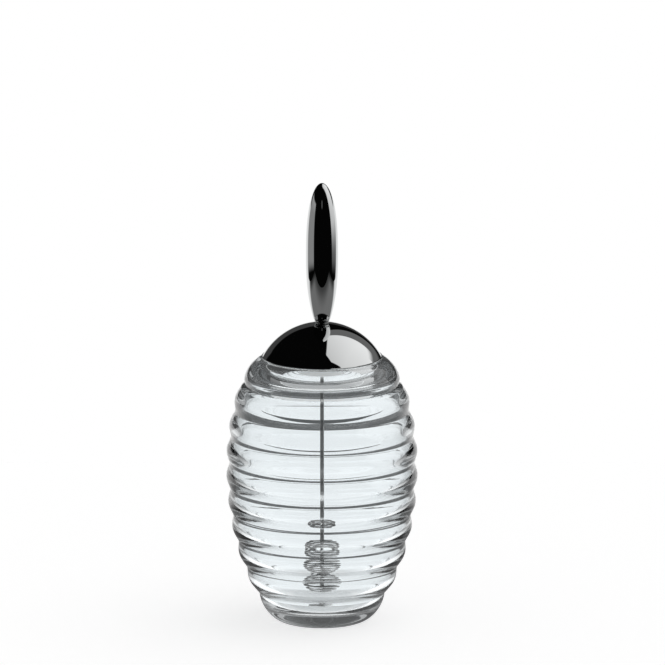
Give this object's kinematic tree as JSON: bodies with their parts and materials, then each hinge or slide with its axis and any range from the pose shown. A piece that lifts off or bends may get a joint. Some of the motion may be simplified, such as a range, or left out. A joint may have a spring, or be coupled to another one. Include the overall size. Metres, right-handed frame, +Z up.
{
  "type": "honey pot",
  "caption": "Ribbed clear glass honey pot with a loose domed steel lid, a spindle handle on top of it and a wire dipper that hangs into the jar.",
  "frame": {"origin": "centre of the jar's foot, on the surface that it stands on", "axes": "+Z up along the jar's axis; the picture's view looks along +Y, with +X to its right"},
  "size_m": [0.0858, 0.0858, 0.1999],
  "materials": {
    "clear_glass": "clear, glossy, fire polished",
    "mirror_steel": "stainless steel, mirror polished",
    "dark_mirror_steel": "stainless steel, polished, darker than the handle",
    "plain_steel": "stainless steel, turned and not polished",
    "milky_plastic": "milky white plastic, slightly matt"
  },
  "bodies": {
    "jar": {"glass_jar": "clear_glass"},
    "lid": {"lid_dome": "mirror_steel", "locating_ring": "milky_plastic", "neck_collar": "dark_mirror_steel", "handle": "mirror_steel", "clamp_stud": "plain_steel", "clamp_washer": "plain_steel", "clamp_nut": "plain_steel", "dipper_rod": "mirror_steel", "dipper_coil": "mirror_steel", "rod_tip": "mirror_steel"}
  },
  "joints": [
    {"name": "lid_lift", "type": "slide", "parent": "jar", "child": "lid", "axis": [0, 0, 1], "range_m": [0, 0.12]}
  ]
}
